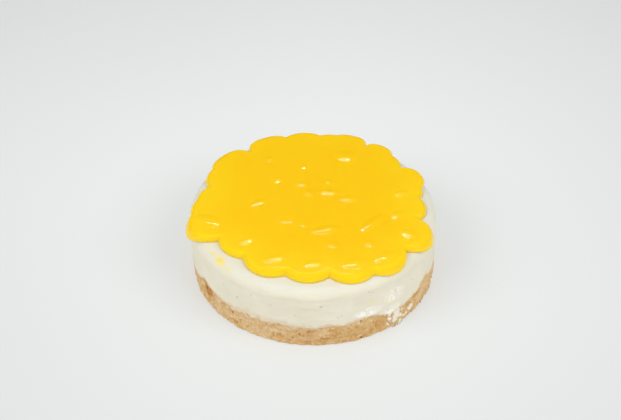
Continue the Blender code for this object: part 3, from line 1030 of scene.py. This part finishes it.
class CHEESECAKE_OT_crumbs(bpy.types.Operator):
    """Scatter crumbs: toasted bits in the side of the base and a few at its foot"""

    bl_idname = "cheesecake.crumbs"
    bl_label = "Crumbs"

    # How far from the axis the crumbs in the side sit
    SIT_RADIUS = 49.4 * MM
    SIDE_CRUMBS = 150

    # Crumbs on the floor at the foot of the smear: how many, and their bearing and its spread
    FOOT_CRUMBS = 11
    FOOT_BEARING, FOOT_SPREAD = 312.5, 2.0

    DRAW_SEED = 20

    def execute(self, context):
        draw = random.Random(self.DRAW_SEED)
        template = bmesh.new()
        bmesh.ops.create_icosphere(template, subdivisions=2, radius=1.0)
        shape = [v.co.copy() for v in template.verts]
        faces = [[v.index for v in face.verts] for face in template.faces]
        template.free()
        points, corners, shades = [], [], []
        for place, size, shade in self.places(draw):
            start = len(points)
            spin = Matrix.Rotation(draw.uniform(0, math.tau), 3, Vector((draw.random(), 1, draw.random())))
            squash = Vector((1.0, draw.uniform(0.6, 0.9), draw.uniform(0.45, 0.8)))
            seed = Vector((draw.uniform(0, 50), 0, 0))
            for co in shape:
                lumpy = co * (1.0 + 0.45 * noise.noise(co * 1.4 + seed))
                spot = place + spin @ (lumpy * squash * size)
                spot.z = max(spot.z, 0.0)
                points.append(spot)
            corners += [[start + i for i in face] for face in faces]
            shades += [shade] * len(shape)
        mesh = bpy.data.meshes.new("biscuit_crumbs")
        mesh.from_pydata(points, [], corners)
        piece = bpy.data.objects.new("biscuit_crumbs", mesh)
        context.scene.collection.objects.link(piece)
        write_share(piece, "shade", np.array(shades))
        finish_piece(piece, self.crumb_material(), "biscuit_crumb")
        return {"FINISHED"}

    def places(self, draw):
        """Where each crumb sits, its radius, and how toasted it is."""
        radius = self.SIT_RADIUS
        found = []
        for _ in range(self.SIDE_CRUMBS):
            bearing = draw.uniform(0, 360)
            height = draw.uniform(0.06, 0.95) * float(crumb_line(bearing))
            size = draw.uniform(0.28, 0.6) * MM
            found.append((bearing, height, radius, size, draw.uniform(0.2, 1.0)))
        found += [(b, h * MM, radius, s * MM, toasting) for b, h, s, toasting in TOASTED_BITS]
        for _ in range(self.FOOT_CRUMBS):
            bearing = draw.gauss(self.FOOT_BEARING, self.FOOT_SPREAD)
            size = draw.uniform(0.22, 0.42) * MM
            out = radius + draw.uniform(0.2, 1.1) * MM
            found.append((bearing, 0.6 * size, out, size, draw.uniform(0.0, 0.9)))
        for bearing, height, out, size, shade in found:
            angle = math.radians(bearing)
            out -= float(side_lean(angle, height))
            place = Vector((out * math.cos(angle), out * math.sin(angle), max(height, 0.6 * size)))
            yield place, size, shade

    @staticmethod
    def crumb_material():
        """Loose biscuit crumb: the same dry grain, from floury pale to well toasted."""
        material, tree, place = new_material("Biscuit crumb, loose")
        shade = add_node(tree, "ShaderNodeAttribute", {"attribute_name": "shade"})
        grain = add_node(
            tree,
            "ShaderNodeTexNoise",
            values={"Scale": per_metre(0.4), "Detail": 3.0},
            links={"Vector": place},
        )
        tone = add_node(
            tree,
            "ShaderNodeMath",
            {"operation": "MULTIPLY_ADD"},
            {1: 0.3},
            {0: grain.outputs["Fac"], 2: shade.outputs["Fac"]},
        )
        colour = add_node(tree, "ShaderNodeValToRGB", links={"Fac": tone.outputs[0]})
        set_stops(
            colour, ((0.15, linear("DEC8A2")), (0.7, linear("C4995F")), (1.0, linear("8E5F31")))
        )
        relief = add_node(
            tree,
            "ShaderNodeBump",
            values={"Strength": 0.5, "Distance": 0.15 * MM},
            links={"Height": grain.outputs["Fac"]},
        )
        shader = add_node(
            tree,
            "ShaderNodeBsdfPrincipled",
            values={"Roughness": 0.9, "Specular IOR Level": 0.3},
            links={"Base Color": colour.outputs["Color"], "Normal": relief.outputs["Normal"]},
        )
        add_node(tree, "ShaderNodeOutputMaterial", links={"Surface": shader.outputs["BSDF"]})
        return material


class CHEESECAKE_OT_studio(bpy.types.Operator):
    """Set the pale floor, the soft light and the camera"""

    bl_idname = "cheesecake.studio"
    bl_label = "Studio"

    FLOOR_SIZE = 4.0
    LENS_MM = 120.0
    SENSOR_MM = 36.0
    CAMERA_PLACE = (-0.9 * MM, -641.2 * MM, 566.4 * MM)
    CAMERA_PITCH = math.radians(39.97)
    STRIP_DISTANCE = 1.2
    STRIP_SIZE = (0.14, 0.016)
    FILL_DISTANCE = 1.6
    FILL_ELEVATION = math.radians(44.0)
    FILL_SIDE = math.radians(55.0)
    FILL_SIZE = (1.2, 0.9)

    def execute(self, context):
        settings = context.scene.cheesecake_studio
        self.lay_floor(settings)
        self.light_room(context, settings)
        self.place_fills(settings)
        self.hang_strip(settings)
        self.set_camera(context)
        context.scene.view_settings.view_transform = "Standard"
        return {"FINISHED"}

    def lay_floor(self, settings):
        rest()
        bpy.ops.mesh.primitive_plane_add(size=self.FLOOR_SIZE, location=(0.0, 0.0, 0.0))
        floor = bpy.context.object
        floor.name = "floor"
        floor.data.materials.append(studio_floor(settings))

    @staticmethod
    def light_room(context, settings):
        """Even light from all round, as in a tent, which the wet gel doesn't mirror."""
        world = bpy.data.worlds.new("Soft room")
        world.use_nodes = True
        background = world.node_tree.nodes["Background"]
        background.inputs["Color"].default_value = (1.0, 1.0, 1.0, 1.0)
        background.inputs["Strength"].default_value = settings.room_light
        world.cycles_visibility.glossy = False
        context.scene.world = world

    def place_fills(self, settings):
        """Two large soft lights, front left and front right, which the gel doesn't mirror."""
        for name, side in (("fill_left", -1.0), ("fill_right", 1.0)):
            turn = side * self.FILL_SIDE
            flat = self.FILL_DISTANCE * math.cos(self.FILL_ELEVATION)
            height = self.FILL_DISTANCE * math.sin(self.FILL_ELEVATION)
            place = (flat * math.sin(turn), -flat * math.cos(turn), height)
            aim = (0.5 * math.pi - self.FILL_ELEVATION, 0.0, turn)
            fill = self.hang_light(name, place, aim, self.FILL_SIZE, settings.fill_light)
            fill.visible_glossy = False

    def hang_strip(self, settings):
        """A long narrow light behind the cake, which draws the bright bars on the drops."""
        elevation = settings.strip_elevation
        away = self.STRIP_DISTANCE
        place = (0.0, away * math.cos(elevation), away * math.sin(elevation))
        aim = (elevation - 0.5 * math.pi, 0.0, 0.0)
        strip = self.hang_light("strip_light", place, aim, self.STRIP_SIZE, settings.strip_light)
        strip.visible_diffuse = False

    @staticmethod
    def hang_light(name, place, aim, size, power):
        """A rectangular light of the given width and height."""
        rest()
        bpy.ops.object.light_add(type="AREA", location=place)
        light = bpy.context.object
        light.name = name
        light.rotation_euler = aim
        light.data.shape = "RECTANGLE"
        light.data.size, light.data.size_y = size
        light.data.energy = power
        return light

    def set_camera(self, context):
        rest()
        bpy.ops.object.camera_add(location=self.CAMERA_PLACE)
        camera = bpy.context.object
        camera.name = "camera"
        camera.rotation_euler = (0.5 * math.pi - self.CAMERA_PITCH, 0.0, 0.0)
        camera.data.lens = self.LENS_MM
        camera.data.sensor_width = self.SENSOR_MM
        camera.data.clip_start = 0.01
        context.scene.camera = camera


class CHEESECAKE_PT_panel(bpy.types.Panel):
    """Lists the pieces of the cake"""

    bl_idname = "CHEESECAKE_PT_panel"
    bl_label = "Cheesecake"
    bl_space_type = "VIEW_3D"
    bl_region_type = "UI"
    bl_category = "Cheesecake"

    def draw(self, context):
        for operator in PIECES:
            self.layout.operator(operator.bl_idname)
        for name, group in SETTINGS:
            for value in group.__annotations__:
                self.layout.prop(getattr(context.scene, name), value)


PIECES = (
    CHEESECAKE_OT_biscuit_base,
    CHEESECAKE_OT_cream_cheese,
    CHEESECAKE_OT_fruit_gel,
    CHEESECAKE_OT_crumbs,
    CHEESECAKE_OT_studio,
)
SETTINGS = (
    ("cheesecake_base", BiscuitBaseSettings),
    ("cheesecake_cream", CreamCheeseSettings),
    ("cheesecake_gel", FruitGelSettings),
    ("cheesecake_studio", StudioSettings),
)
CLASSES = (*(group for _, group in SETTINGS), *PIECES, CHEESECAKE_PT_panel)


def register():
    for each in CLASSES:
        bpy.utils.register_class(each)
    for name, group in SETTINGS:
        setattr(bpy.types.Scene, name, PointerProperty(type=group))


def unregister():
    for name, _ in SETTINGS:
        delattr(bpy.types.Scene, name)
    for each in reversed(CLASSES):
        bpy.utils.unregister_class(each)


def main():
    register()
    bpy.ops.cheesecake.biscuit_base()
    bpy.ops.cheesecake.cream_cheese()
    bpy.ops.cheesecake.fruit_gel()
    bpy.ops.cheesecake.crumbs()
    bpy.ops.cheesecake.studio()


if __name__ == "__main__":
    main()
